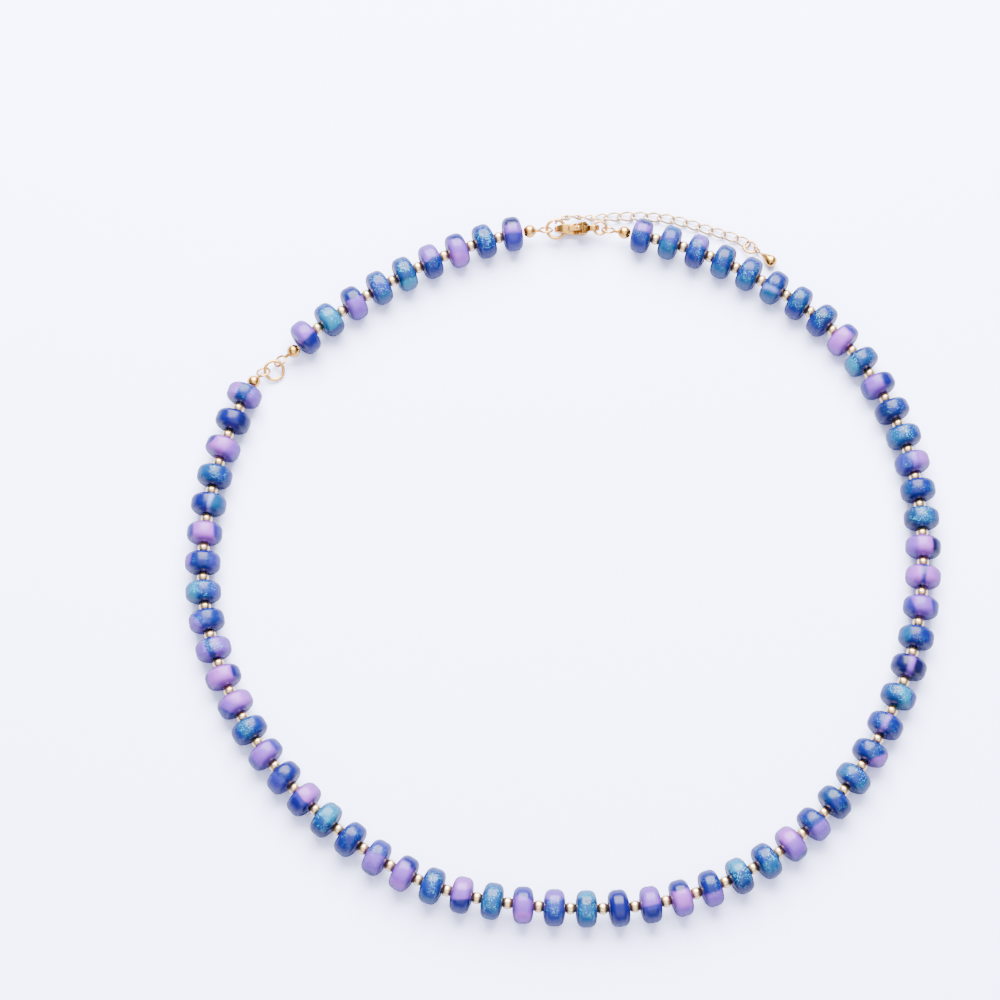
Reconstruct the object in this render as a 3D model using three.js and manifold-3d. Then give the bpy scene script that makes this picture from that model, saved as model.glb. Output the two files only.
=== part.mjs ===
// A beaded necklace, closed and lying flat: glass rondelles and gold spacer balls on a
// strand, gold ball tips with loops, jump rings, a claw clasp and an extension chain.
// Millimetres, +Z up, the surface at z = 0. The origin is the middle of the footprint.
import * as THREE from "three";
import { mergeVertices } from "three/addons/utils/BufferGeometryUtils.js";
import Module from "manifold-3d";

// Glass rondelles
const BEAD_DIAMETER = 8.0;
const BEAD_THICKNESS = 4.8;
const BEAD_BELT = 1.7;
const BEAD_END_DIAMETER = 5.2;
const BEAD_SIDES = 12;

// Gold spacer balls between the rondelles
const SPACER_DIAMETER = 2.7;
const SPACER_MOUTH = 1.4;
const SPACER_SEAT = 0.3;
const SPACER_SIDES = 10;
const STRING_GAP = 0.3;

// Bead tips: a hollow ball, a short neck and a round wire loop
const TIP_BALL_DIAMETER = 3.0;
const TIP_HOLE = 1.4;
const TIP_NECK = 0.8;
const TIP_REACH = 3.9;
const TIP_LOOP_DIAMETER = 3.4;
const TIP_WIRE = 0.52;
const TIP_GAP = 0.2;
const TIP_SIDES = 10;

// Jump rings
const JUMP_RING_DIAMETER = 5.0;
const JUMP_RING_WIRE = 0.72;
const TAIL_RING_DIAMETER = 3.6;
const TAIL_RING_WIRE = 0.62;
const DROP_RING_DIAMETER = 3.6;
const DROP_RING_WIRE = 0.6;
const RING_SIDES = 12;
const WIRE_SIDES = 6;

// Claw clasp, drawn with its tail at zero and its claw towards +X, the lever side up
const CLASP_LENGTH = 10.6;
const CLASP_WIDTH = 5.4;
const CLASP_TAIL_THICKNESS = 2.9;
const CLASP_CLAW_THICKNESS = 2.0;
const CLASP_NOSE_THICKNESS = 1.2;
const CLASP_NOSE = 1.8;
const CLASP_RAIL = 1.3;
const TAIL_DIAMETER = 2.9;
const TAIL_HOLE = 1.7;
const TAIL_EYE_THICKNESS = 1.3;
const OPENING_START = 5.0;
const PIVOT_ALONG = 3.7;
const PIVOT_ACROSS = 0.95;
const PIVOT_BOSS = 2.5;
const RIVET_DIAMETER = 0.7;
const LEVER_HUB = 2.0;
const LEVER_SLOT = 3.0;
const LEVER_REACH = 3.8;
const LEVER_DEPTH = 1.1;
const LEVER_THICKNESS = 1.1;
const LEVER_CLEARANCE = 0.2;
const MOUTH_GAP = 0.3;
const KNOB_DIAMETER = 0.9;
const KNOB_RISE = 0.65;
const KNOB_DOME = 0.2;
const LEVER_SUNK = 0.1;
const RIVET_SUNK = 0.05;
const SWEEP_FROM = -30;
const SWEEP_TO = 75;

// Extension chain and its drop, whose shape is given in shares of its length and radius
const CHAIN_LINKS = 15;
const LINK_WIDTH = 2.8;
const LINK_WIRE = 0.5;
const LINK_PLAY = 0.2;
const LINK_TWIST = 45;
const LINK_ROUNDNESS = 0.7;
const LINK_SIDES = 10;
const LINK_WIRE_SIDES = 5;
const DROP_LENGTH = 4.8;
const DROP_DIAMETER = 2.8;
const DROP_EYE_DIAMETER = 2.2;
const DROP_EYE_WIRE = 0.4;
const DROP_SIDES = 12;
const DROP_SHAPE = [
  [0, 0],
  [0, 0.16],
  [0.3, 0.35],
  [0.68, 1],
  [0.8, 1],
  [1, 0.35],
  [1, 0],
];

// Where the pieces lie. Each string's route leads from its first rondelle to its last, with
// one point more at each end for the way that the strand comes and goes. The long string
// starts beyond the clasp's tail.
const LONG_BEADS = 60;
const SHORT_BEADS = 9;
const LONG_ROUTE = [
  [CLASP_LENGTH - 18.1, 81.5],
  [CLASP_LENGTH + 9.4, 78.5],
  [44.0, 68.5],
  [64.5, 52.0],
  [77.0, 28.5],
  [80.0, 2.5],
  [75.5, -25.0],
  [62.5, -50.0],
  [43.5, -68.5],
  [19.0, -78.5],
  [-8.0, -79.0],
  [-33.5, -73.0],
  [-55.5, -57.5],
  [-71.5, -37.0],
  [-80.5, -12.0],
  [-80.0, 15.0],
  [-72.1, 40.8],
  [-59.0, 63.0],
];
const SHORT_ROUTE = [
  [-71.0, 42.5],
  [-58.1, 54.75],
  [-43.0, 65.5],
  [-27.0, 74.0],
  [-10.0, 79.6],
  [9.0, 81.5],
];

// The findings: middles, and turns in degrees
const CLASP_PLACE = { claw: [-0.25, 80.95], height: 3.15, heading: 181, lean: 19.7 };
const CLAW_RING_PLACE = { middle: [0.2, 81.05, 3.15], heading: 0, lean: 19.7 };
const TAIL_RING_PLACE = { middle: [CLASP_LENGTH - 0.13, 81.1, 3.15], heading: 0, lean: 19.7 };
const DROP_RING_PLACE = { middle: [45.4, 76.3, 1.1], heading: -45, lean: -10 };
const SIDE_RING_LEAN = 21;
const RING_PULL = 0.4;
const DROP_PULL = 0.15;
const DROP_LIFT = 0.05;
const DROP_PITCH = 4.7;
const DROP_LEAVES_AT = 20;

// The chain's way between the claw ring and the drop ring, and the places where it leaves them
const CHAIN_WAY = [
  [3.5, 84.3, 2.6],
  [9.2, 84.6, 1.2],
  [18.5, 84.9, 0.9],
  [27.5, 83.9, 0.9],
  [36.5, 80.8, 0.9],
  [42.1, 78.75, 1.0],
];
const CHAIN_LEAVES_AT = 66;
const CHAIN_ARRIVES_AT = 178;
const RING_STAND_BACK = 0.4;
const LINK_ROLLS = [-50, -60, -50, -30, -10, 0, 0, 0, 0, 0, 0, 0, 0, 10, 10];

const GLASS = { color: 0x4a63d2, roughness: 0.12, metalness: 0 };
const WARM_GOLD = { color: 0xe2b866, roughness: 0.2, metalness: 1 };
const PALE_GOLD = { color: 0xe0cba0, roughness: 0.22, metalness: 1 };

// Edges shorter than this are left over from joining solids, and close up
const MERGE = 0.002;

const wasm = await Module();
wasm.setup();

// A closed three.js shape as a solid that can be joined and cut
function solid(geometry) {
  const bare = geometry.clone();
  bare.deleteAttribute("normal");
  bare.deleteAttribute("uv");
  const merged = mergeVertices(bare, 1e-4);
  return new wasm.Manifold(
    new wasm.Mesh({
      numProp: 3,
      vertProperties: merged.attributes.position.array,
      triVerts: new Uint32Array(merged.index.array),
    }),
  );
}

function geometryOf(body) {
  const mesh = body.asOriginal().simplify(MERGE).getMesh();
  const geometry = new THREE.BufferGeometry();
  geometry.setAttribute("position", new THREE.BufferAttribute(mesh.vertProperties, 3));
  geometry.setIndex(new THREE.BufferAttribute(mesh.triVerts, 1));
  geometry.computeVertexNormals();
  return geometry;
}

// A turned piece along +X: rows of [place on the axis, radius], from the low end to the high end
function turned(rows, sides) {
  const profile = rows.map(([along, radius]) => new THREE.Vector2(radius, along));
  return new THREE.LatheGeometry(profile, sides, Math.PI / sides).rotateZ(-Math.PI / 2);
}

// The radius that gives a many-sided piece its size across the flats
function overFlats(size, sides) {
  return size / 2 / Math.cos(Math.PI / sides);
}

function jumpRing(diameter, wire) {
  return new THREE.TorusGeometry((diameter - wire) / 2, wire / 2, WIRE_SIDES, RING_SIDES);
}

const necklace = new THREE.Group();

function addPiece(parent, name, geometry, finish) {
  const mesh = new THREE.Mesh(geometry, new THREE.MeshStandardMaterial(finish));
  mesh.name = name;
  parent.add(mesh);
  return mesh;
}

function placeAt(parent, place, heading, pitch, roll) {
  const frame = new THREE.Group();
  frame.position.set(...place);
  frame.rotation.set(roll, pitch, heading, "ZYX");
  parent.add(frame);
  return frame;
}

const radians = THREE.MathUtils.degToRad;

// One rondelle: flat drilled ends, sloping shoulders and a flat belt
function rondelle() {
  const half = BEAD_THICKNESS / 2;
  const rim = overFlats(BEAD_DIAMETER, BEAD_SIDES);
  const end = overFlats(BEAD_END_DIAMETER, BEAD_SIDES);
  return turned(
    [
      [-half, 0],
      [-half, end],
      [-BEAD_BELT / 2, rim],
      [BEAD_BELT / 2, rim],
      [half, end],
      [half, 0],
    ],
    BEAD_SIDES,
  );
}

// One spacer ball, its ends as far before and behind its middle as the places given
function spacer(before, behind) {
  const rim = overFlats(SPACER_DIAMETER, SPACER_SIDES);
  const mouth = overFlats(SPACER_MOUTH, SPACER_SIDES);
  return turned(
    [
      [-before, 0],
      [-before, mouth],
      [0, rim],
      [behind, mouth],
      [behind, 0],
    ],
    SPACER_SIDES,
  );
}

// Where each rondelle of a string sits, with its heading along the strand
function strung(route, count) {
  const beads = Math.round(count);
  const points = route.map(([x, y]) => new THREE.Vector3(x, y, BEAD_DIAMETER / 2));
  const curve = new THREE.CatmullRomCurve3(points, false, "catmullrom");
  const spans = route.length - 1;
  return Array.from({ length: beads }, (_, i) => {
    const share = (1 + (i / (beads - 1)) * (spans - 2)) / spans;
    const way = curve.getTangent(share);
    return { place: curve.getPoint(share), heading: Math.atan2(way.y, way.x) };
  });
}

function moved(geometry, place, heading) {
  return geometry.rotateZ(heading).translate(place.x, place.y, place.z);
}

// Rondelles and spacers of one string, fused where each spacer seats in the drilled mouths.
// A string that meets the next one ends in a spacer cut short of the next rondelle.
function beadString(beads, next) {
  const row = next ? [...beads, next] : beads;
  let body = null;
  const fuse = (geometry) => {
    const piece = solid(geometry);
    body = body ? body.add(piece) : piece;
  };
  beads.forEach((bead) => fuse(moved(rondelle(), bead.place, bead.heading)));
  for (let i = 1; i < row.length; i += 1) {
    const way = new THREE.Vector3().subVectors(row[i].place, row[i - 1].place);
    const middle = row[i - 1].place.clone().addScaledVector(way, 0.5);
    const reach = way.length() / 2 - BEAD_THICKNESS / 2;
    const cut = next && i === row.length - 1;
    const behind = cut ? reach - STRING_GAP : reach + SPACER_SEAT;
    fuse(moved(spacer(reach + SPACER_SEAT, behind), middle, Math.atan2(way.y, way.x)));
  }
  return geometryOf(body);
}

const longString = strung(LONG_ROUTE, LONG_BEADS);
const shortString = strung(SHORT_ROUTE, SHORT_BEADS);
const halfway = longString.length / 2;
const rightHalf = longString.slice(0, halfway);
const leftHalf = longString.slice(halfway);
addPiece(necklace, "bead_string_right", beadString(rightHalf, leftHalf[0]), GLASS);
addPiece(necklace, "bead_string_left", beadString(leftHalf, null), GLASS);
addPiece(necklace, "bead_string_short", beadString(shortString, null), GLASS);

// A bead tip along +X from the middle of its ball: ball, neck, and a loop in the XY plane
function beadTip() {
  const ball = TIP_BALL_DIAMETER / 2;
  const hole = TIP_HOLE / 2;
  const neck = TIP_NECK / 2;
  const loop = (TIP_LOOP_DIAMETER - TIP_WIRE) / 2;
  const start = -Math.sqrt(ball * ball - hole * hole);
  const rows = [
    [start, 0],
    [start, hole],
  ];
  for (const degrees of [-35, 0, 35]) {
    rows.push([ball * Math.sin(radians(degrees)), ball * Math.cos(radians(degrees))]);
  }
  rows.push([Math.sqrt(ball * ball - neck * neck), neck]);
  rows.push([TIP_REACH - loop, neck]);
  rows.push([TIP_REACH - loop, 0]);
  const ring = new THREE.TorusGeometry(loop, TIP_WIRE / 2, WIRE_SIDES, RING_SIDES);
  const body = solid(turned(rows, TIP_SIDES)).add(solid(ring.translate(TIP_REACH, 0, 0)));
  return geometryOf(body);
}

// The four tips: the end bead each one follows, how far its ball sits aside and how high,
// then where it heads, droops and rolls
const TIPS = [
  { name: "clasp_short", bead: shortString.at(-1), end: 1, aside: -0.1, height: 3.76, turn: [8, 9, -42] },
  { name: "clasp_long", bead: longString[0], end: -1, aside: 0, height: 3.76, turn: [165, 9, 42] },
  { name: "side_short", bead: shortString[0], end: -1, aside: -0.5, height: 3.1, turn: [210, 21, 32] },
  { name: "side_long", bead: longString.at(-1), end: 1, aside: -0.45, height: 3.1, turn: [54.5, 21, -24] },
];
const loopMiddles = {};
for (const tip of TIPS) {
  const reach = tip.end * (BEAD_THICKNESS / 2 + TIP_GAP + TIP_BALL_DIAMETER / 2);
  const [ahead, across] = [Math.cos(tip.bead.heading), Math.sin(tip.bead.heading)];
  const ball = [
    tip.bead.place.x + reach * ahead - tip.aside * across,
    tip.bead.place.y + reach * across + tip.aside * ahead,
    tip.height,
  ];
  const frame = placeAt(necklace, ball, ...tip.turn.map(radians));
  addPiece(frame, `bead_tip_${tip.name}`, beadTip(), WARM_GOLD);
  frame.updateMatrixWorld();
  loopMiddles[tip.name] = frame.localToWorld(new THREE.Vector3(TIP_REACH, 0, 0));
}

// The side ring hangs from its two tips' loops: their middles lie just outside its wire
function sideRingPlace() {
  const from = loopMiddles.side_long;
  const way = new THREE.Vector3().subVectors(loopMiddles.side_short, from);
  const pull = (JUMP_RING_DIAMETER - JUMP_RING_WIRE) / 2 + RING_PULL;
  const inward = Math.sqrt(pull ** 2 - way.length() ** 2 / 4);
  const heading = Math.atan2(way.y, way.x);
  const lean = radians(SIDE_RING_LEAN);
  const middle = [
    from.x + way.x / 2 + inward * Math.cos(lean) * Math.sin(heading),
    from.y + way.y / 2 - inward * Math.cos(lean) * Math.cos(heading),
    from.z + way.z / 2 - inward * Math.sin(lean),
  ];
  return { middle, heading: THREE.MathUtils.radToDeg(heading), lean: SIDE_RING_LEAN };
}

// Jump rings, each turned to its heading and leaning about it
const RINGS = [
  { name: "side_joint_ring", place: sideRingPlace(), size: [JUMP_RING_DIAMETER, JUMP_RING_WIRE] },
  { name: "claw_ring", place: CLAW_RING_PLACE, size: [JUMP_RING_DIAMETER, JUMP_RING_WIRE] },
  { name: "tail_ring", place: TAIL_RING_PLACE, size: [TAIL_RING_DIAMETER, TAIL_RING_WIRE] },
  { name: "drop_ring", place: DROP_RING_PLACE, size: [DROP_RING_DIAMETER, DROP_RING_WIRE] },
];
const ringFrames = {};
for (const ring of RINGS) {
  const { middle, heading, lean } = ring.place;
  const frame = placeAt(necklace, middle, radians(heading), 0, radians(lean));
  addPiece(frame, ring.name, jumpRing(...ring.size), WARM_GOLD);
  frame.updateMatrixWorld();
  ringFrames[ring.name] = frame;
}

// A flat outline of the clasp, thickened evenly to both sides of its middle plane
function plate(shape, thickness) {
  return new THREE.ExtrudeGeometry(shape, { depth: thickness, bevelEnabled: false, curveSegments: 5 })
    .translate(0, 0, -thickness / 2);
}

function disc(diameter, thickness) {
  const round = new THREE.CylinderGeometry(diameter / 2, diameter / 2, thickness, 12);
  return round.rotateX(Math.PI / 2).translate(PIVOT_ALONG, PIVOT_ACROSS, 0);
}

// The clasp's side view: a round tail eye that widens into the claw
function claspOutline() {
  const tail = TAIL_DIAMETER / 2;
  const half = CLASP_WIDTH / 2;
  const bow = CLASP_LENGTH - half;
  const shape = new THREE.Shape();
  shape.absarc(tail, 0, tail, radians(60), radians(300), false);
  shape.quadraticCurveTo(PIVOT_ALONG, -half, bow, -half);
  shape.absarc(bow, 0, half, radians(-90), radians(90), false);
  shape.lineTo(OPENING_START, half);
  shape.quadraticCurveTo(PIVOT_ALONG, half, tail * 1.5, tail * Math.sin(radians(60)));
  const eye = new THREE.Path();
  eye.absarc(tail, 0, TAIL_HOLE / 2, 0, Math.PI * 2, true);
  const opening = new THREE.Path();
  const inner = half - CLASP_RAIL;
  opening.absarc(bow, 0, inner, radians(90), radians(-90), true);
  opening.absarc(OPENING_START + inner, 0, inner, radians(-90), radians(-270), true);
  shape.holes.push(eye, opening);
  return shape;
}

// The room that the lever sweeps, a ring sector about the rivet, open to the claw's mouth
function sweepRoom() {
  const shape = new THREE.Shape();
  const reach = LEVER_REACH + MOUTH_GAP;
  const [from, to] = [radians(SWEEP_FROM), radians(SWEEP_TO)];
  shape.absarc(PIVOT_ALONG, PIVOT_ACROSS, reach, from, to, false);
  shape.absarc(PIVOT_ALONG, PIVOT_ACROSS, PIVOT_BOSS / 2, to, from, true);
  return plate(shape, CLASP_TAIL_THICKNESS * 2);
}

// Seen from the lever side: a thin eye, thickest at the rivet, thinner again at the claw
function taper() {
  const eye = TAIL_EYE_THICKNESS / 2;
  const tail = CLASP_TAIL_THICKNESS / 2;
  const claw = CLASP_CLAW_THICKNESS / 2;
  const rows = [
    [-1, eye],
    [TAIL_DIAMETER * 0.85, eye],
    [PIVOT_ALONG - LEVER_HUB / 4, tail],
    [PIVOT_ALONG + LEVER_HUB / 2, tail],
    [CLASP_LENGTH - CLASP_NOSE, claw],
    [CLASP_LENGTH + 0.1, CLASP_NOSE_THICKNESS / 2],
  ];
  const shape = new THREE.Shape();
  shape.moveTo(rows[0][0], -rows[0][1]);
  rows.slice(1).forEach(([along, half]) => shape.lineTo(along, -half));
  rows.toReversed().forEach(([along, half]) => shape.lineTo(along, half));
  return plate(shape, CLASP_WIDTH * 2).rotateX(Math.PI / 2);
}

function claspBody() {
  const slot = disc(LEVER_SLOT, LEVER_THICKNESS + 2 * LEVER_CLEARANCE);
  const rivet = disc(RIVET_DIAMETER, CLASP_TAIL_THICKNESS - 2 * RIVET_SUNK);
  const body = solid(plate(claspOutline(), CLASP_TAIL_THICKNESS * 1.5))
    .intersect(solid(taper()))
    .subtract(solid(sweepRoom()))
    .subtract(solid(slot))
    .add(solid(rivet));
  return geometryOf(body);
}

// The lever: a drilled hub, an arm whose end follows an arc about the rivet, and a thumb knob
function claspLever() {
  const top = CLASP_WIDTH / 2 - PIVOT_ACROSS - LEVER_SUNK;
  const arm = new THREE.Shape();
  arm.moveTo(0, 0);
  arm.lineTo(LEVER_HUB / 2, top - LEVER_DEPTH);
  arm.lineTo(Math.sqrt(LEVER_REACH ** 2 - (top - LEVER_DEPTH) ** 2), top - LEVER_DEPTH);
  arm.lineTo(Math.sqrt(LEVER_REACH ** 2 - top ** 2), top);
  arm.lineTo(LEVER_HUB / 2, top);
  arm.lineTo(-LEVER_HUB / 4, LEVER_HUB / 2.5);
  const bar = plate(arm, LEVER_THICKNESS).translate(PIVOT_ALONG, PIVOT_ACROSS, 0);
  const knob = turned(
    [
      [0, 0],
      [0, KNOB_DIAMETER / 2],
      [KNOB_RISE, KNOB_DIAMETER / 2],
      [KNOB_RISE + KNOB_DOME, KNOB_DIAMETER / 4],
      [KNOB_RISE + KNOB_DOME, 0],
    ],
    10,
  ).rotateZ(Math.PI / 2).translate(PIVOT_ALONG + LEVER_HUB * 0.7, CLASP_WIDTH / 2 - 2 * LEVER_SUNK, 0);
  const body = solid(bar)
    .add(solid(disc(LEVER_HUB, LEVER_THICKNESS)))
    .add(solid(knob))
    .subtract(solid(disc(RIVET_DIAMETER + 2 * LEVER_CLEARANCE, LEVER_THICKNESS * 2)));
  return geometryOf(body);
}

// The clasp's frame turns its lever side up, leaning towards the front
const claspTurn = radians(CLASP_PLACE.heading);
const claspFrame = placeAt(
  necklace,
  [
    CLASP_PLACE.claw[0] - CLASP_LENGTH * Math.cos(claspTurn),
    CLASP_PLACE.claw[1] - CLASP_LENGTH * Math.sin(claspTurn),
    CLASP_PLACE.height,
  ],
  claspTurn,
  0,
  Math.PI / 2 - radians(CLASP_PLACE.lean),
);
addPiece(claspFrame, "clasp_body", claspBody(), WARM_GOLD);
addPiece(claspFrame, "clasp_lever", claspLever(), WARM_GOLD);

// A wire link bent from a round ring to an oval, then twisted so that it lies flat
function chainLink(length, width) {
  const ring = new THREE.TorusGeometry(1, LINK_WIRE / 2, LINK_WIRE_SIDES, LINK_SIDES);
  const halfLength = (length - LINK_WIRE) / 2;
  const halfWidth = (width - LINK_WIRE) / 2;
  const soften = (share) => Math.sign(share) * Math.abs(share) ** LINK_ROUNDNESS;
  const places = ring.attributes.position;
  const point = new THREE.Vector3();
  const along = new THREE.Vector3(1, 0, 0);
  for (let i = 0; i < places.count; i += 1) {
    point.fromBufferAttribute(places, i);
    const angle = Math.atan2(point.y, point.x);
    const out = Math.hypot(point.x, point.y) - 1;
    const side = new THREE.Vector2(halfWidth * Math.cos(angle), halfLength * Math.sin(angle));
    side.normalize().multiplyScalar(out);
    const x = halfLength * soften(Math.cos(angle));
    const y = halfWidth * soften(Math.sin(angle));
    point.set(x + side.x, y + side.y, point.z);
    point.applyAxisAngle(along, radians(LINK_TWIST) * (x / halfLength));
    places.setXYZ(i, point.x, point.y, point.z);
  }
  return ring;
}

// The middle of a ring's wire at an angle round it
function onRing(name, diameter, wire, degrees) {
  const radius = (diameter - wire) / 2;
  const point = new THREE.Vector3(radius, 0, 0);
  return ringFrames[name].localToWorld(point.applyAxisAngle(new THREE.Vector3(0, 0, 1), radians(degrees)));
}

// The links lie between junctions spaced evenly along the chain's way. Next to a ring the
// junction stands back, so that the end of the link passes inside the ring.
const leaves = onRing("claw_ring", JUMP_RING_DIAMETER, JUMP_RING_WIRE, CHAIN_LEAVES_AT);
const arrives = onRing("drop_ring", DROP_RING_DIAMETER, DROP_RING_WIRE, CHAIN_ARRIVES_AT);
const chainWay = CHAIN_WAY.map((point) => new THREE.Vector3(...point));
const standBack = (ring, toward, wire) => {
  const way = new THREE.Vector3().subVectors(ring, toward).normalize();
  return ring.clone().addScaledVector(way, wire / 2 + RING_STAND_BACK);
};
const chainCurve = new THREE.CatmullRomCurve3(
  [
    standBack(leaves, chainWay[0], JUMP_RING_WIRE),
    ...chainWay,
    standBack(arrives, chainWay.at(-1), DROP_RING_WIRE),
  ],
  false,
  "catmullrom",
);
for (let i = 0; i < CHAIN_LINKS; i += 1) {
  const from = chainCurve.getPointAt(i / CHAIN_LINKS);
  const to = chainCurve.getPointAt((i + 1) / CHAIN_LINKS);
  const way = new THREE.Vector3().subVectors(to, from);
  const middle = from.clone().addScaledVector(way, 0.5);
  const heading = Math.atan2(way.y, way.x);
  const droop = -Math.asin(way.z / way.length());
  const frame = placeAt(necklace, middle.toArray(), heading, droop, radians(LINK_ROLLS[i]));
  const length = way.length() + 2 * LINK_WIRE + LINK_PLAY;
  const name = `chain_link_${String(i + 1).padStart(2, "0")}`;
  addPiece(frame, name, chainLink(length, LINK_WIDTH), PALE_GOLD);
}

// The drop along +X from the middle of its eye, whose hole lies level
function dropBead() {
  const radius = overFlats(DROP_DIAMETER, DROP_SIDES);
  const neck = (DROP_EYE_DIAMETER - DROP_EYE_WIRE) / 2;
  const rows = DROP_SHAPE.map(([along, across]) => [neck + along * DROP_LENGTH, across * radius]);
  const eye = new THREE.TorusGeometry(
    (DROP_EYE_DIAMETER - DROP_EYE_WIRE) / 2,
    DROP_EYE_WIRE / 2,
    WIRE_SIDES,
    RING_SIDES,
  );
  return geometryOf(solid(turned(rows, DROP_SIDES)).add(solid(eye.rotateX(Math.PI / 2))));
}

// The drop lies on its belly and on its eye, which hangs on the ring
const dropHeading = radians(DROP_RING_PLACE.heading);
const hangs = onRing("drop_ring", DROP_RING_DIAMETER + 2 * DROP_PULL, DROP_RING_WIRE, DROP_LEAVES_AT);
const eyeMiddle = [hangs.x, hangs.y, DROP_EYE_DIAMETER / 2 + DROP_LIFT];
const dropFrame = placeAt(necklace, eyeMiddle, dropHeading, -radians(DROP_PITCH), 0);
addPiece(dropFrame, "end_drop", dropBead(), WARM_GOLD);

// The origin moves to the middle of the footprint, on the surface
const footprint = new THREE.Box3().setFromObject(necklace, true);
const middle = footprint.getCenter(new THREE.Vector3());
necklace.position.set(-middle.x, -middle.y, -footprint.min.z);

export default necklace;
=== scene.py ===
import math
import random

import bmesh
import bpy
from mathutils import Matrix, Vector


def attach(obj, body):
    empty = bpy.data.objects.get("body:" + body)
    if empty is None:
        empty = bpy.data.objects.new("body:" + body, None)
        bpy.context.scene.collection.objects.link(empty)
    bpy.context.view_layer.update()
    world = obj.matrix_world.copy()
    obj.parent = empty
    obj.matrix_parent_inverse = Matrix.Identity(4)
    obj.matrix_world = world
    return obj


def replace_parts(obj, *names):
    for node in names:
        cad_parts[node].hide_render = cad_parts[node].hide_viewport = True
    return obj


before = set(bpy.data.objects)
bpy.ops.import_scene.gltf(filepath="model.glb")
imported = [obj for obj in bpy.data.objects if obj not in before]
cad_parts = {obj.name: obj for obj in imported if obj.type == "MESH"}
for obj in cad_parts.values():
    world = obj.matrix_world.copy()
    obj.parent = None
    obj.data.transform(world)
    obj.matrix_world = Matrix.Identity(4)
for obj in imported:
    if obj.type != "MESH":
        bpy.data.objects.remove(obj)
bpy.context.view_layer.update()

bpy.ops.object.select_all(action="DESELECT")

# The camera stands on the near side and looks down at the necklace, with a long lens, from
# where the photograph was taken. Its frame is square.
VIEW_RIGHT = Vector((0.999656, -0.025923, 0.007432))
VIEW_UP = Vector((0.0219, 0.9412, 0.3372))
VIEW_BACK = Vector((-0.015736, -0.336932, 0.941397))
CAMERA_SPOT = (-0.024999, -0.224102, 0.666142)
CAMERA_FOCAL_LENGTH = 112.5
lens = bpy.data.cameras.new("camera")
lens.lens = CAMERA_FOCAL_LENGTH
lens.sensor_width = 36
lens.clip_start = 0.05
lens.clip_end = 10
camera = bpy.data.objects.new("camera", lens)
bpy.context.scene.collection.objects.link(camera)
camera_turn = Matrix((VIEW_RIGHT, VIEW_UP, VIEW_BACK)).transposed().to_4x4()
camera.matrix_world = Matrix.Translation(CAMERA_SPOT) @ camera_turn
bpy.context.scene.camera = camera

# Glass rondelles: moulded two-tone glass, drilled through and tumbled until every edge is soft.
# Each was pinched from rods of different colours, so no two have the same bands. The sizes
# are in millimetres, and a piece takes its place and its real scale when it is settled.
BEAD_DIAMETER = 8.0
BEAD_THICKNESS = 4.8
BEAD_ROUNDING = 1.7
BEAD_MOUTH = 1.7
BEAD_DOME = 0.3
BEAD_LIP = 0.25
BEAD_SIDES = 24
VIEW_SLANT = 20
LONG_BEADS = 60
SHORT_BEADS = 9
# The first and the last point of a route only lead its curve in and out.
LONG_ROUTE = [
    (-7.5, 81.5), (20.0, 78.5), (44.0, 68.5), (64.5, 52.0), (77.0, 28.5), (80.0, 2.5),
    (75.5, -25.0), (62.5, -50.0), (43.5, -68.5), (19.0, -78.5), (-8.0, -79.0), (-33.5, -73.0),
    (-55.5, -57.5), (-71.5, -37.0), (-80.5, -12.0), (-80.0, 15.0), (-72.1, 40.8), (-59.0, 63.0),
]
SHORT_ROUTE = [
    (-71.0, 42.5), (-58.1, 54.75), (-43.0, 65.5), (-27.0, 74.0), (-10.0, 79.6), (9.0, 81.5),
]
# From the routes' own grid to the frame, whose origin is under the middle of the footprint.
FOOTPRINT_SHIFT = Vector((0.645, -1.239, 0.0))
REAL_SCALE = Matrix.Scale(0.001, 4)


def place(middle, heading=0.0, pitch=0.0, roll=0.0):
    """A place in millimetres on the routes' own grid, with its turns in degrees."""
    turns = Matrix.Rotation(math.radians(heading), 4, "Z")
    turns = turns @ Matrix.Rotation(math.radians(pitch), 4, "Y")
    turns = turns @ Matrix.Rotation(math.radians(roll), 4, "X")
    return Matrix.Translation(Vector(middle)) @ turns


def settle(piece, where, name):
    """Gives a drawn piece its place and its real scale, in its mesh."""
    piece.data.transform(REAL_SCALE @ Matrix.Translation(FOOTPRINT_SHIFT) @ where)
    piece.name = name
    piece.data.name = name


def copied(piece, name):
    """A copy of a drawn piece, with a mesh of its own."""
    twin = bpy.data.objects.new(name, piece.data.copy())
    bpy.context.scene.collection.objects.link(twin)
    return twin


def pick(*pieces):
    """Selects these pieces and nothing else, with the first one active."""
    bpy.ops.object.select_all(action="DESELECT")
    for piece in pieces:
        piece.select_set(True)
    bpy.context.view_layer.objects.active = pieces[0]


def open_mesh(piece, kind):
    """Opens a piece in edit mode with nothing selected."""
    pick(piece)
    bpy.ops.object.mode_set(mode="EDIT")
    bpy.ops.mesh.select_mode(type=kind)
    bpy.ops.mesh.select_all(action="DESELECT")
    return bmesh.from_edit_mesh(piece.data)


def close_mesh(piece):
    """Turns all faces outwards and leaves edit mode."""
    bpy.ops.mesh.select_all(action="SELECT")
    bpy.ops.mesh.normals_make_consistent(inside=False)
    bpy.ops.object.mode_set(mode="OBJECT")
    piece.select_set(False)


def choose(parts, wanted):
    """Selects the faces or edges that a test picks out."""
    for part in parts:
        part.select_set(wanted(part))
    bmesh.update_edit_mesh(bpy.context.object.data)


def apply_modifier(piece, kind, **settings):
    """Adds one modifier and applies it at once."""
    pick(piece)
    modifier = piece.modifiers.new(kind.lower(), kind)
    for setting, value in settings.items():
        setattr(modifier, setting, value)
    bpy.ops.object.modifier_apply(modifier=modifier.name)
    piece.select_set(False)


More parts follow.
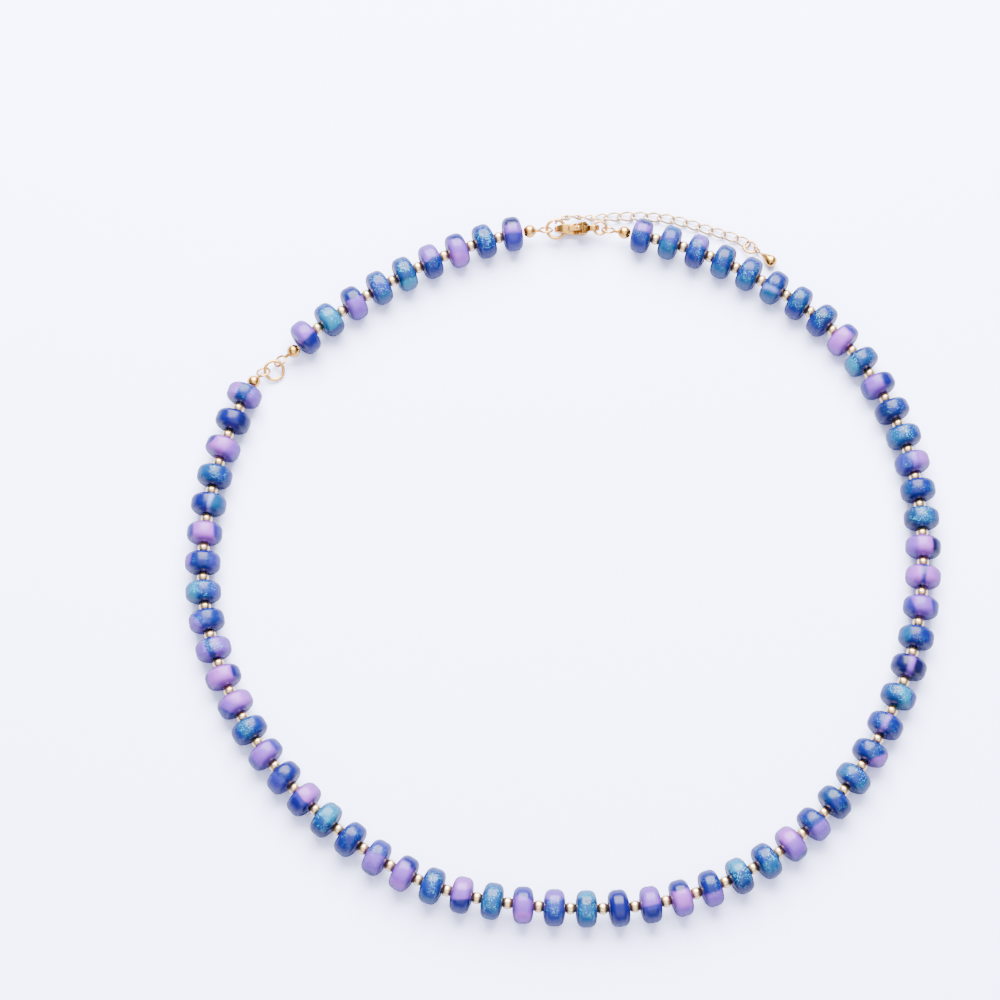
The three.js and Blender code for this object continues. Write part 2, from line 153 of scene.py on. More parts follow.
def joined(pieces, name):
    """Several meshes as one piece."""
    pick(*pieces)
    bpy.ops.object.join()
    pieces[0].name = name
    pieces[0].data.name = name
    pieces[0].select_set(False)
    return pieces[0]


def smoothed(piece):
    """Shades every face of a piece smooth."""
    piece.data.polygons.foreach_set("use_smooth", [True] * len(piece.data.polygons))


def resized(piece, size):
    """Stretches a drawing to the exact size that it is to have."""
    corners = [Vector(v.co) for v in piece.data.vertices]
    for axis in range(3):
        reach = max(c[axis] for c in corners) - min(c[axis] for c in corners)
        way = [i == axis for i in range(3)]
        piece.data.transform(Matrix.Scale(size[axis] / reach, 4, way))


def route_point(route, share):
    """A point of the smooth curve through a route, and the way it heads there."""
    points = [Vector((*p, 0.0)) if len(p) == 2 else Vector(p) for p in route]
    spans = len(points) - 1
    step = min(int(share * spans), spans - 1)
    part = share * spans - step
    here, there = points[step], points[step + 1]
    before = points[step - 1] if step else here * 2 - there
    after = points[step + 2] if step + 2 <= spans else there * 2 - here
    leave, arrive = (there - before) / 2, (after - here) / 2
    bend = (here - there) * 2 + leave + arrive
    turn = (there - here) * 3 - leave * 2 - arrive
    point = bend * part**3 + turn * part**2 + leave * part + here
    way = bend * 3 * part**2 + turn * 2 * part + leave
    return point, way


def strung(route, beads):
    """Where each rondelle of a string sits, with its heading in degrees."""
    spans = len(route) - 1
    row = []
    for i in range(beads):
        share = (1 + i / (beads - 1) * (spans - 2)) / spans
        point, way = route_point(route, share)
        point.z = BEAD_DIAMETER / 2
        row.append((point, math.degrees(math.atan2(way.y, way.x))))
    return row


long_string = strung(LONG_ROUTE, LONG_BEADS)
short_string = strung(SHORT_ROUTE, SHORT_BEADS)

# One rondelle is drawn as a drum: its two rims are rounded, its ends rise a little towards the
# mouths, and the hole between the mouths is walled.
bpy.ops.mesh.primitive_cylinder_add(
    vertices=BEAD_SIDES, radius=BEAD_DIAMETER / 2, depth=BEAD_THICKNESS
)
rondelle = bpy.context.object
drawing = open_mesh(rondelle, "EDGE")
choose(drawing.edges, lambda edge: abs(edge.verts[0].co.z + edge.verts[1].co.z) > 1)
bpy.ops.mesh.bevel(offset=BEAD_ROUNDING, segments=5, profile=0.5, affect="EDGES")
bpy.ops.mesh.select_mode(type="FACE")
bpy.ops.mesh.select_all(action="DESELECT")
drawing = bmesh.from_edit_mesh(rondelle.data)
choose(drawing.faces, lambda face: len(face.verts) == BEAD_SIDES)
end_radius = BEAD_DIAMETER / 2 - BEAD_ROUNDING
bpy.ops.mesh.inset(thickness=end_radius - BEAD_MOUTH / 2 - BEAD_LIP, depth=BEAD_DOME)
bpy.ops.mesh.inset(thickness=BEAD_LIP, depth=-BEAD_DOME / 2)
bpy.ops.mesh.delete(type="ONLY_FACE")
bpy.ops.mesh.select_mode(type="EDGE")
drawing = bmesh.from_edit_mesh(rondelle.data)
choose(drawing.edges, lambda edge: edge.is_boundary)
bpy.ops.mesh.bridge_edge_loops()
close_mesh(rondelle)
rondelle.data.transform(Matrix.Rotation(math.pi / 2, 4, "Y"))
apply_modifier(rondelle, "SUBSURF", levels=1, render_levels=1)
resized(rondelle, (BEAD_THICKNESS, BEAD_DIAMETER, BEAD_DIAMETER))
smoothed(rondelle)

# Each rondelle's colours, from the rondelle next to the clasp's tail round to the side joint,
# then from the side joint to the claw: outer band, middle band, inner band, where the outer
# and the inner band begin between -1 inside and 1 outside, how many degrees the bands slant,
# and how much silver glitter lies in the glass.
GLASS_TINTS = {
    "navy": "#040324",
    "deep": "#040534",
    "royal": "#05064C",
    "cobalt": "#081056",
    "iris": "#1D1764",
    "lilac": "#5C308C",
    "pink": "#7A3A98",
    "pearl": "#505899",
    "sea": "#001C48",
    "teal": "#003458",
    "aqua": "#005A72",
    "petrol": "#01152B",
}
LONG_COLOURS = [
    ("navy", "lilac", "cobalt", 0.65, 0.25, 0, 0.3),
    ("teal", "iris", "teal", 0.6, -0.05, 0, 0.5),
    ("lilac", "cobalt", "royal", 0.5, -0.3, 25, 0.5),
    ("sea", "royal", "teal", 0.0, -0.4, 0, 0.5),
    ("royal", "royal", "teal", 0.2, -0.3, -15, 0.8),
    ("royal", "pearl", "teal", -0.05, -0.3, 0, 0.3),
    ("royal", "sea", "royal", 0.45, -0.45, 0, 0.5),
    ("royal", "deep", "royal", 0.4, -0.3, 0, 0.6),
    ("iris", "pink", "pink", 0.6, -0.6, 0, 0.0),
    ("sea", "deep", "aqua", -0.2, -0.42, 0, 0.9),
    ("royal", "lilac", "iris", 0.35, -0.6, 0, 0.0),
    ("royal", "royal", "deep", 0.3, -0.3, 0, 0.3),
    ("royal", "sea", "teal", 0.4, -0.4, -25, 1.0),
    ("pink", "lilac", "iris", 0.5, 0.0, 0, 0.4),
    ("teal", "royal", "sea", 0.6, -0.5, 0, 0.3),
    ("sea", "teal", "petrol", 0.5, -0.3, 0, 1.0),
    ("navy", "pink", "lilac", 0.35, -0.4, 0, 0.0),
    ("pink", "iris", "pink", -0.05, -0.35, 0, 0.0),
    ("iris", "lilac", "iris", 0.45, -0.5, -20, 0.0),
    ("royal", "royal", "teal", 0.4, -0.55, 0, 0.2),
    ("navy", "lilac", "deep", 0.12, -0.18, 0, 0.0),
    ("cobalt", "aqua", "sea", 0.5, -0.1, -20, 0.9),
    ("royal", "lilac", "cobalt", 0.0, -0.3, 0, 0.4),
    ("pink", "royal", "royal", 0.45, -0.5, 35, 0.4),
    ("teal", "cobalt", "teal", 0.35, -0.45, 20, 0.7),
    ("deep", "royal", "sea", 0.3, -0.4, 0, 0.3),
    ("lilac", "iris", "royal", 0.1, -0.1, 0, 0.4),
    ("iris", "lilac", "pink", 0.65, -0.3, 0, 0.0),
    ("sea", "teal", "royal", 0.7, -0.15, 0, 0.9),
    ("deep", "sea", "aqua", 0.3, -0.45, 0, 0.9),
    ("lilac", "lilac", "royal", 0.4, 0.05, 0, 0.2),
    ("lilac", "pink", "royal", 0.4, -0.55, 0, 0.0),
    ("royal", "iris", "lilac", 0.2, -0.05, 0, 0.0),
    ("teal", "royal", "royal", 0.8, -0.5, 0, 0.0),
    ("teal", "petrol", "aqua", -0.35, -0.65, 0, 0.9),
    ("cobalt", "iris", "lilac", 0.0, -0.6, 0, 0.5),
    ("pink", "lilac", "iris", 0.2, -0.5, 0, 0.0),
    ("aqua", "cobalt", "teal", 0.8, 0.5, 0, 1.0),
    ("royal", "lilac", "pink", 0.15, -0.4, 0, 0.0),
    ("teal", "cobalt", "sea", 0.45, -0.5, 0, 0.7),
    ("pink", "lilac", "royal", 0.4, -0.6, 0, 0.0),
    ("royal", "lilac", "iris", 0.75, -0.3, 0, 0.3),
    ("teal", "royal", "cobalt", 0.75, -0.5, 0, 0.3),
    ("deep", "sea", "aqua", 0.55, -0.1, 0, 1.0),
    ("royal", "iris", "pink", 0.25, -0.1, 0, 0.0),
    ("iris", "iris", "royal", 0.5, 0.1, 0, 0.1),
    ("iris", "lilac", "iris", 0.6, -0.6, 0, 0.0),
    ("cobalt", "teal", "royal", 0.3, -0.25, 0, 0.7),
    ("iris", "lilac", "pink", 0.45, -0.1, -30, 0.0),
    ("navy", "pink", "royal", 0.8, -0.7, 0, 0.0),
    ("lilac", "cobalt", "lilac", 0.3, -0.15, 0, 0.6),
    ("lilac", "iris", "royal", 0.5, -0.05, -30, 0.6),
    ("aqua", "cobalt", "iris", 0.15, -0.5, 0, 1.0),
    ("lilac", "royal", "iris", 0.6, -0.4, 0, 0.2),
    ("iris", "pink", "iris", 0.65, -0.6, 0, 0.0),
    ("royal", "pearl", "teal", -0.05, -0.25, 0, 0.1),
    ("teal", "sea", "royal", 0.5, -0.2, 30, 0.8),
    ("royal", "pink", "lilac", 0.65, -0.4, 20, 0.0),
    ("sea", "royal", "deep", 0.6, -0.3, 0, 0.0),
    ("pink", "cobalt", "lilac", 0.45, -0.25, 0, 0.6),
]
SHORT_COLOURS = [
    ("lilac", "lilac", "royal", 0.4, -0.15, 0, 0.0),
    ("cobalt", "aqua", "sea", 0.5, -0.55, 0, 1.0),
    ("royal", "lilac", "lilac", 0.15, -0.4, 15, 0.2),
    ("royal", "iris", "teal", 0.5, -0.45, 0, 0.7),
    ("sea", "petrol", "aqua", -0.25, -0.42, 0, 0.9),
    ("lilac", "lilac", "royal", 0.4, 0.0, 0, 0.3),
    ("royal", "lilac", "pink", 0.4, -0.3, 20, 0.0),
    ("royal", "sea", "royal", 0.55, 0.05, 0, 0.9),
    ("navy", "lilac", "iris", 0.5, 0.0, 0, 0.0),
]


def linear(shade):
    """An sRGB hex colour as linear red, green, blue and alpha."""
    parts = [int(shade[i : i + 2], 16) / 255 for i in (1, 3, 5)]
    red, green, blue = (
        p / 12.92 if p <= 0.04045 else ((p + 0.055) / 1.055) ** 2.4 for p in parts
    )
    return red, green, blue, 1.0


def tint_rondelle(piece, colours, heading):
    """Writes a rondelle's bands onto its mesh. Its outer side lies towards +Y, and it lies
    rolled on its strand so that the bands face the viewer."""
    outer, middle, inner, outer_edge, inner_edge, slant, glitter = colours
    mesh = piece.data
    lean = math.radians(slant)
    roll = math.radians(-VIEW_SLANT * math.cos(math.radians(heading)))
    across = []
    for v in mesh.vertices:
        facing = v.co.y * math.cos(roll) - v.co.z * math.sin(roll)
        across.append((facing * math.cos(lean) + v.co.x * math.sin(lean)) * 2 / BEAD_DIAMETER)
    mesh.attributes.new("band", "FLOAT", "POINT").data.foreach_set("value", across)
    for name, tint in (("outer_tint", outer), ("middle_tint", middle), ("inner_tint", inner)):
        layer = mesh.attributes.new(name, "FLOAT_COLOR", "POINT")
        layer.data.foreach_set("color", linear(GLASS_TINTS[tint]) * len(mesh.vertices))
    layer = mesh.attributes.new("band_edges", "FLOAT_VECTOR", "POINT")
    layer.data.foreach_set("vector", (outer_edge, inner_edge, glitter) * len(mesh.vertices))


def add_node(material, kind, links=(), **settings):
    """Adds a node to a material, with its settings, and its sockets' values or links."""
    node = material.node_tree.nodes.new(kind)
    for setting, value in settings.items():
        setattr(node, setting, value)
    for socket, value in dict(links).items():
        if isinstance(value, bpy.types.NodeSocket):
            material.node_tree.links.new(value, node.inputs[socket])
        else:
            node.inputs[socket].default_value = value
    return node


def new_material(name):
    """An empty node material, with its surface shader."""
    material = bpy.data.materials.new(name)
    material.use_nodes = True
    return material, material.node_tree.nodes["Principled BSDF"]


# Moulded soda-lime glass with a tumbled, softly bright skin: deep colour, soft-edged bands,
# painted shade that darkens it towards the rim, and flakes of mica whose blue-green glints and
# glow are painted on its top.
glass, surface = new_material("moulded_two_tone_glass")
# How far the bands wander and blur is a share of the rondelle's radius. Heights are in metres.
BAND_WANDER = 0.16
BAND_BLUR = 0.11
# Painted light: the heights between which the painted glints and the painted glow fade in on a
# bead's top.
PAINTED_LIGHT_START = 0.0054
PAINTED_LIGHT_FULL = 0.0078
PAINTED_GLOW_STRENGTH = 0.28
PAINTED_GLOW_TINT = "#063A78"
PAINTED_GLINT_TINT = "#40A8C0"
PAINTED_RIM_SHADE_TINT = "#0A0840"
PAINTED_RIM_SHADE_STRENGTH = 0.8
SKIN_MIRROR = 0.13
spots = add_node(glass, "ShaderNodeTexCoord").outputs["Object"]
# The bands' edges wander by up to 0.6 mm to each side, in swirls about 5.6 mm across.
swirl = add_node(
    glass, "ShaderNodeTexNoise", {"Vector": spots, "Scale": 180.0, "Detail": 1.5, "Roughness": 0.4}
)
wander = add_node(
    glass,
    "ShaderNodeMapRange",
    {
        "Value": swirl.outputs["Fac"],
        "From Min": 0.25,
        "From Max": 0.75,
        "To Min": -BAND_WANDER,
        "To Max": BAND_WANDER,
    },
)
band = add_node(glass, "ShaderNodeAttribute", attribute_name="band")
edges = add_node(glass, "ShaderNodeAttribute", attribute_name="band_edges")
split = add_node(glass, "ShaderNodeSeparateXYZ", {0: edges.outputs["Vector"]})
across = add_node(
    glass, "ShaderNodeMath", {0: band.outputs["Fac"], 1: wander.outputs[0]}, operation="ADD"
)
tints = {
    name: add_node(glass, "ShaderNodeAttribute", attribute_name=name).outputs["Color"]
    for name in ("outer_tint", "middle_tint", "inner_tint")
}


def band_share(edge):
    """How far the glass has passed a band's edge, over a soft millimetre."""
    past = add_node(glass, "ShaderNodeMath", {0: across.outputs[0], 1: edge}, operation="SUBTRACT")
    return add_node(
        glass,
        "ShaderNodeMapRange",
        {"Value": past.outputs[0], "From Min": -BAND_BLUR, "From Max": BAND_BLUR},
        interpolation_type="SMOOTHSTEP",
    ).outputs[0]


def blended(material, share, one, other):
    """One colour blended into another."""
    sockets = {0: share, 6: one, 7: other}
    return add_node(material, "ShaderNodeMix", sockets, data_type="RGBA").outputs[2]


inside = blended(glass, band_share(split.outputs["Y"]), tints["inner_tint"], tints["middle_tint"])
body_tint = blended(glass, band_share(split.outputs["X"]), inside, tints["outer_tint"])
# Mica flakes are a tenth of a millimetre across and less. They are drawn two to three times as
# coarse, to show, and lie in patches about 2.4 mm across.
flakes = add_node(glass, "ShaderNodeTexVoronoi", {"Vector": spots, "Scale": 3600.0})
flake_size = add_node(
    glass,
    "ShaderNodeMapRange",
    {"Value": flakes.outputs["Distance"], "From Min": 0.5, "From Max": 0.3},
)
bright = add_node(glass, "ShaderNodeSeparateXYZ", {0: flakes.outputs["Color"]})
lucky = add_node(
    glass, "ShaderNodeMapRange", {"Value": bright.outputs["X"], "From Min": 0.4, "From Max": 0.7}
)
patch = add_node(glass, "ShaderNodeTexNoise", {"Vector": spots, "Scale": 420.0, "Detail": 1.0})
# The flakes' glints and a lighter teal glow are painted only on the upper third of a bead, which
# faces the lamps.
height = add_node(glass, "ShaderNodeSeparateXYZ", {0: spots})
lit = add_node(
    glass,
    "ShaderNodeMapRange",
    {"Value": height.outputs["Z"], "From Min": PAINTED_LIGHT_START, "From Max": PAINTED_LIGHT_FULL},
    interpolation_type="SMOOTHSTEP",
)
patchy = add_node(
    glass, "ShaderNodeMapRange", {"Value": patch.outputs["Fac"], "From Min": 0.38, "From Max": 0.6}
)
showing = add_node(
    glass, "ShaderNodeMath", {0: flake_size.outputs[0], 1: lucky.outputs[0]}, operation="MULTIPLY"
)
showing = add_node(
    glass, "ShaderNodeMath", {0: showing.outputs[0], 1: patchy.outputs[0]}, operation="MULTIPLY"
)
glitter = add_node(
    glass, "ShaderNodeMath", {0: showing.outputs[0], 1: split.outputs["Z"]}, operation="MULTIPLY"
)
# Painted glow: a lighter teal tint painted on the top of glittering beads, where the lamps fall.
painted_glow_mask = add_node(
    glass, "ShaderNodeMath", {0: lit.outputs[0], 1: split.outputs["Z"]}, operation="MULTIPLY"
)
painted_glow_share = add_node(
    glass, "ShaderNodeMath", {0: painted_glow_mask.outputs[0], 1: PAINTED_GLOW_STRENGTH}, operation="MULTIPLY"
)
with_painted_glow = blended(glass, painted_glow_share.outputs[0], body_tint, linear(PAINTED_GLOW_TINT))
# Painted glints: the flakes are painted as bright blue-green sparks only where the lamps fall on
# the top.
painted_glints = add_node(
    glass, "ShaderNodeMath", {0: glitter.outputs[0], 1: lit.outputs[0]}, operation="MULTIPLY"
)
with_painted_glints = blended(glass, painted_glints.outputs[0], with_painted_glow, linear(PAINTED_GLINT_TINT))
# Painted shade: the colour is darkened towards the rim, where the glass is seen edge-on.
rim = add_node(glass, "ShaderNodeLayerWeight", {"Blend": 0.22})
painted_rim_shade_share = add_node(
    glass,
    "ShaderNodeMapRange",
    {
        "Value": rim.outputs["Facing"],
        "From Min": 0.03,
        "From Max": 0.42,
        "To Max": PAINTED_RIM_SHADE_STRENGTH,
    },
)
with_painted_rim_shade = blended(glass, painted_rim_shade_share.outputs[0], with_painted_glints, linear(PAINTED_RIM_SHADE_TINT))
# The tumbled skin mirrors less and less towards the rim, so the colour deepens there.
mirror = add_node(
    glass,
    "ShaderNodeMapRange",
    {
        "Value": rim.outputs["Facing"],
        "From Min": 0.15,
        "From Max": 0.55,
        "To Min": SKIN_MIRROR,
        "To Max": 0.0,
    },
)
glass.node_tree.links.new(mirror.outputs[0], surface.inputs["Specular IOR Level"])
glass.node_tree.links.new(with_painted_rim_shade, surface.inputs["Base Color"])
surface.inputs["Roughness"].default_value = 0.27
surface.inputs["IOR"].default_value = 1.52
surface.inputs["Transmission Weight"].default_value = 0.08
surface.inputs["Subsurface Weight"].default_value = 0.3
surface.inputs["Subsurface Radius"].default_value = (1.0, 1.0, 1.0)
surface.inputs["Subsurface Scale"].default_value = 0.0008
# Tumbling leaves ripples about two millimetres apart, too shallow to feel.
ripple = add_node(glass, "ShaderNodeTexNoise", {"Vector": spots, "Scale": 500.0, "Detail": 1.0})
skin = add_node(
    glass,
    "ShaderNodeBump",
    {"Height": ripple.outputs["Fac"], "Strength": 0.05, "Distance": 0.0002},
)
glass.node_tree.links.new(skin.outputs[0], surface.inputs["Normal"])

# Pressed by hand, the rondelles differ a little in thickness, and each sits a few degrees off
# square to the strand.
THINNING = 0.04
OFF_SQUARE = 5
hand = random.Random(7)


def string_of_glass(name, row, colours):
    """The rondelles of one string, none quite square to the strand."""
    pieces = []
    for (middle, heading), bands in zip(row, colours):
        piece = copied(rondelle, name)
        tint_rondelle(piece, bands, heading)
        piece.data.transform(Matrix.Scale(1 - THINNING * hand.random(), 4, (1, 0, 0)))
        settle(piece, place(middle, heading + hand.uniform(-OFF_SQUARE, OFF_SQUARE)), name)
        pieces.append(piece)
    string = joined(pieces, name)
    string.data.materials.append(glass)
    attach(string, "necklace")
    return string


HALF = LONG_BEADS // 2
halves = {
    "right": (long_string[:HALF], LONG_COLOURS[:HALF]),
    "left": (long_string[HALF:], LONG_COLOURS[HALF:]),
    "short": (short_string, SHORT_COLOURS),
}
for side, (row, colours) in halves.items():
    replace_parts(string_of_glass(f"rondelles_{side}", row, colours), f"bead_string_{side}")
bpy.data.objects.remove(rondelle)

# Spacer balls: seamless hollow brass balls, barrel-polished and plated in pale gold. Each one
# sits between two rondelles with its ends in their drilled mouths.
SPACER_DIAMETER = 2.7
SPACER_MOUTH = 1.3
SPACER_LIP = 0.16
SPACER_CHAMFER = 0.05
SPACER_DIMPLE = 0.25
bpy.ops.mesh.primitive_uv_sphere_add(segments=20, ring_count=14, radius=SPACER_DIAMETER / 2)
spacer = bpy.context.object
open_mesh(spacer, "FACE")
flat = math.sqrt(SPACER_DIAMETER**2 - SPACER_MOUTH**2) / 2
for side in (-1, 1):
    bpy.ops.mesh.select_all(action="SELECT")
    bpy.ops.mesh.bisect(
        plane_co=(0, 0, side * flat), plane_no=(0, 0, side), clear_outer=True, use_fill=True
    )
bpy.ops.mesh.select_all(action="DESELECT")
drawing = bmesh.from_edit_mesh(spacer.data)
choose(drawing.faces, lambda face: len(face.verts) > 10)
bpy.ops.mesh.inset(thickness=SPACER_LIP, depth=0.0)
bpy.ops.mesh.inset(thickness=SPACER_CHAMFER, depth=-SPACER_DIMPLE)
close_mesh(spacer)
spacer.data.transform(Matrix.Rotation(math.pi / 2, 4, "Y"))
smoothed(spacer)


def plated(name, shades, roughness):
    """Polished gold plating on brass: a bright metal between two near shades, with a skin that
    barely waves, and wear about a millimetre across that dulls its gloss in places."""
    material, metal = new_material(name)
    spots = add_node(material, "ShaderNodeTexCoord").outputs["Object"]
    wear = add_node(
        material, "ShaderNodeTexNoise", {"Vector": spots, "Scale": 900.0, "Detail": 3.0}
    )
    gloss = add_node(
        material,
        "ShaderNodeMapRange",
        {"Value": wear.outputs["Fac"], "To Min": roughness * 0.6, "To Max": roughness * 1.5},
    )
    material.node_tree.links.new(gloss.outputs[0], metal.inputs["Roughness"])
    patina = blended(material, wear.outputs["Fac"], linear(shades[0]), linear(shades[1]))
    material.node_tree.links.new(patina, metal.inputs["Base Color"])
    metal.inputs["Metallic"].default_value = 1.0
    waves = add_node(
        material,
        "ShaderNodeBump",
        {"Height": wear.outputs["Fac"], "Strength": 0.06, "Distance": 0.0001},
    )
    material.node_tree.links.new(waves.outputs[0], metal.inputs["Normal"])
    return material


pale_gold = plated("pale_gold_plating", ("#C4AA80", "#B09060"), 0.3)
warm_gold = plated("warm_gold_plating", ("#C0934A", "#A87630"), 0.24)


def string_of_balls(name, row):
    """The spacer balls between neighbours of one row."""
    pieces = []
    for (one, _), (other, _) in zip(row, row[1:]):
        way = other - one
        piece = copied(spacer, name)
        heading = math.degrees(math.atan2(way.y, way.x))
        settle(piece, place((one + other) / 2, heading, 0, hand.uniform(0, 360)), name)
        pieces.append(piece)
    string = joined(pieces, name)
    string.data.materials.append(pale_gold)
    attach(string, "necklace")
    return string


string_of_balls("spacer_balls_right", long_string[: HALF + 1])
string_of_balls("spacer_balls_left", long_string[HALF:])
string_of_balls("spacer_balls_short", short_string)
bpy.data.objects.remove(spacer)

# Bead tips: pressed brass shells folded shut over the strand's knot, which leaves a seam round
# the ball, and a loop of wire bent out of the neck. Plated in warm gold.
TIP_BALL_DIAMETER = 3.0
TIP_HOLE = 1.2
TIP_NECK = 0.8
TIP_REACH = 3.9
TIP_LOOP_DIAMETER = 3.4
TIP_WIRE = 0.52
TIP_GAP = 0.2
TIP_HOLE_DEPTH = 0.8
TIP_SEAM = 0.12
TIP_OVERLAP = 0.5
TIP_EDGE = 0.05
CRISP_ANGLE = 35
SHADED_ANGLE = 40


def fused(one, other, operation="UNION"):
    """Adds one closed shape to another, or cuts it out."""
    apply_modifier(one, "BOOLEAN", operation=operation, object=other, solver="EXACT")
    bpy.data.objects.remove(other)


def softened(piece, width):
    """Rounds the crisp edges of a cast or pressed piece, and shades it smooth."""
    apply_modifier(
        piece,
        "BEVEL",
        width=width,
        segments=2,
        limit_method="ANGLE",
        angle_limit=math.radians(CRISP_ANGLE),
        use_clamp_overlap=True,
        harden_normals=False,
    )
    smoothed(piece)
    pick(piece)
    bpy.ops.object.shade_smooth_by_angle(angle=math.radians(SHADED_ANGLE))
    piece.select_set(False)


bpy.ops.mesh.primitive_uv_sphere_add(segments=32, ring_count=24, radius=TIP_BALL_DIAMETER / 2)
tip = bpy.context.object
tip.data.transform(Matrix.Rotation(math.pi / 2, 4, "Y"))
bpy.ops.mesh.primitive_cylinder_add(vertices=24, radius=TIP_HOLE / 2, depth=TIP_HOLE_DEPTH * 2)
hole = bpy.context.object
hole.data.transform(
    Matrix.Translation((-TIP_BALL_DIAMETER / 2, 0, 0)) @ Matrix.Rotation(math.pi / 2, 4, "Y")
)
fused(tip, hole, "DIFFERENCE")
bpy.ops.mesh.primitive_torus_add(
    major_segments=48,
    minor_segments=8,
    major_radius=TIP_BALL_DIAMETER / 2,
    minor_radius=TIP_SEAM / 2,
)
seam = bpy.context.object
fused(tip, seam, "DIFFERENCE")
loop_radius = (TIP_LOOP_DIAMETER - TIP_WIRE) / 2
neck_length = TIP_REACH - loop_radius - TIP_BALL_DIAMETER / 2 + TIP_OVERLAP
bpy.ops.mesh.primitive_cylinder_add(vertices=20, radius=TIP_NECK / 2, depth=neck_length)
neck = bpy.context.object
neck.data.transform(
    Matrix.Translation((TIP_REACH - loop_radius - neck_length / 2, 0, 0))
    @ Matrix.Rotation(math.pi / 2, 4, "Y")
)
bpy.ops.mesh.primitive_torus_add(
    major_segments=56, minor_segments=12, major_radius=loop_radius, minor_radius=TIP_WIRE / 2
)
loop = bpy.context.object
loop.data.transform(Matrix.Translation((TIP_REACH, 0, 0)))
fused(neck, loop)
fused(tip, neck)
softened(tip, TIP_EDGE)

# Each tip's rondelle, the side of it that the tip is on, how far the ball lies to one side of
# the strand, its height, and its turns.
TIPS = {
    "clasp_short": (short_string[-1], 1, -0.1, 3.76, (8, 9, -42)),
    "clasp_long": (long_string[0], -1, 0.0, 3.76, (165, 9, 42)),
    "side_short": (short_string[0], -1, -0.5, 3.1, (210, 21, 32)),
    "side_long": (long_string[-1], 1, -0.45, 3.1, (54.5, 21, -24)),
}
loop_middles = {}
for side, ((middle, heading), end, aside, height, turns) in TIPS.items():
    reach = end * (BEAD_THICKNESS / 2 + TIP_GAP + TIP_BALL_DIAMETER / 2)
    way = Vector((math.cos(math.radians(heading)), math.sin(math.radians(heading)), 0))
    ball = middle + way * reach + Vector((-way.y, way.x, 0)) * aside
    ball.z = height
    where = place(ball, *turns)
    loop_middles[side] = where @ Vector((TIP_REACH, 0, 0))
    piece = copied(tip, f"tip_{side}")
    settle(piece, where, f"tip_{side}")
    piece.data.materials.append(warm_gold)
    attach(piece, "necklace")
    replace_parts(piece, f"bead_tip_{side}")
bpy.data.objects.remove(tip)

# Jump rings: round brass wire coiled and sawn apart, then closed with pliers, so that each
# ring has a fine seam where its ends meet. Plated in warm gold.
JUMP_RING = (5.0, 0.72)
TAIL_RING = (3.6, 0.62)
DROP_RING = (3.6, 0.6)
RING_SEAM = 1.9
RING_EDGE = 0.04
SIDE_RING_LEAN = 21
RING_PULL = 0.4
CLASP_HEIGHT = 3.15
FACING_LEAN = 19.7


def jump_ring(diameter, wire, seam_at):
    """A ring of wire with a sawn seam, in the XY plane."""
    bpy.ops.mesh.primitive_torus_add(
        major_segments=96,
        minor_segments=14,
        major_radius=(diameter - wire) / 2,
        minor_radius=wire / 2,
    )
    ring = bpy.context.object
    drawing = open_mesh(ring, "FACE")
    middle = Vector((math.cos(math.radians(seam_at)), math.sin(math.radians(seam_at)), 0))

    def in_seam(face):
        spot = face.calc_center_median()
        spot.z = 0
        return spot.angle(middle) < math.radians(RING_SEAM)

    choose(drawing.faces, in_seam)
    bpy.ops.mesh.delete(type="FACE")
    bpy.ops.mesh.select_mode(type="EDGE")
    drawing = bmesh.from_edit_mesh(ring.data)
    choose(drawing.edges, lambda edge: edge.is_boundary)
    bpy.ops.mesh.fill_holes(sides=0)
    close_mesh(ring)
    softened(ring, RING_EDGE)
    return ring


def side_ring_place():
    """The side ring hangs from its two tips' loops, whose middles lie just outside its wire."""
    start = loop_middles["side_long"]
    way = loop_middles["side_short"] - start
    pull = (JUMP_RING[0] - JUMP_RING[1]) / 2 + RING_PULL
    inward = math.sqrt(pull**2 - way.length_squared / 4)
    heading = math.atan2(way.y, way.x)
    lean = math.radians(SIDE_RING_LEAN)
    fall = Vector((
        math.cos(lean) * math.sin(heading), -math.cos(lean) * math.cos(heading), -math.sin(lean)
    ))
    return place(start + way / 2 + fall * inward, math.degrees(heading), 0, SIDE_RING_LEAN)


# Each ring's place, its size, and the angle round it where its seam is.
RINGS = {
    "side_joint_ring": (side_ring_place(), JUMP_RING, 265),
    "claw_ring": (place((0.2, 81.05, CLASP_HEIGHT), 0, 0, FACING_LEAN), JUMP_RING, 105),
    "tail_ring": (place((10.47, 81.1, CLASP_HEIGHT), 0, 0, FACING_LEAN), TAIL_RING, 80),
    "drop_ring": (place((45.4, 76.3, 1.1), -45, 0, -10), DROP_RING, 95),
}
for name, (where, (diameter, wire), seam_at) in RINGS.items():
    ring = jump_ring(diameter, wire, seam_at)
    settle(ring, where, f"wire_{name}")
    ring.data.materials.append(warm_gold)
    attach(ring, "necklace")
    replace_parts(ring, name)

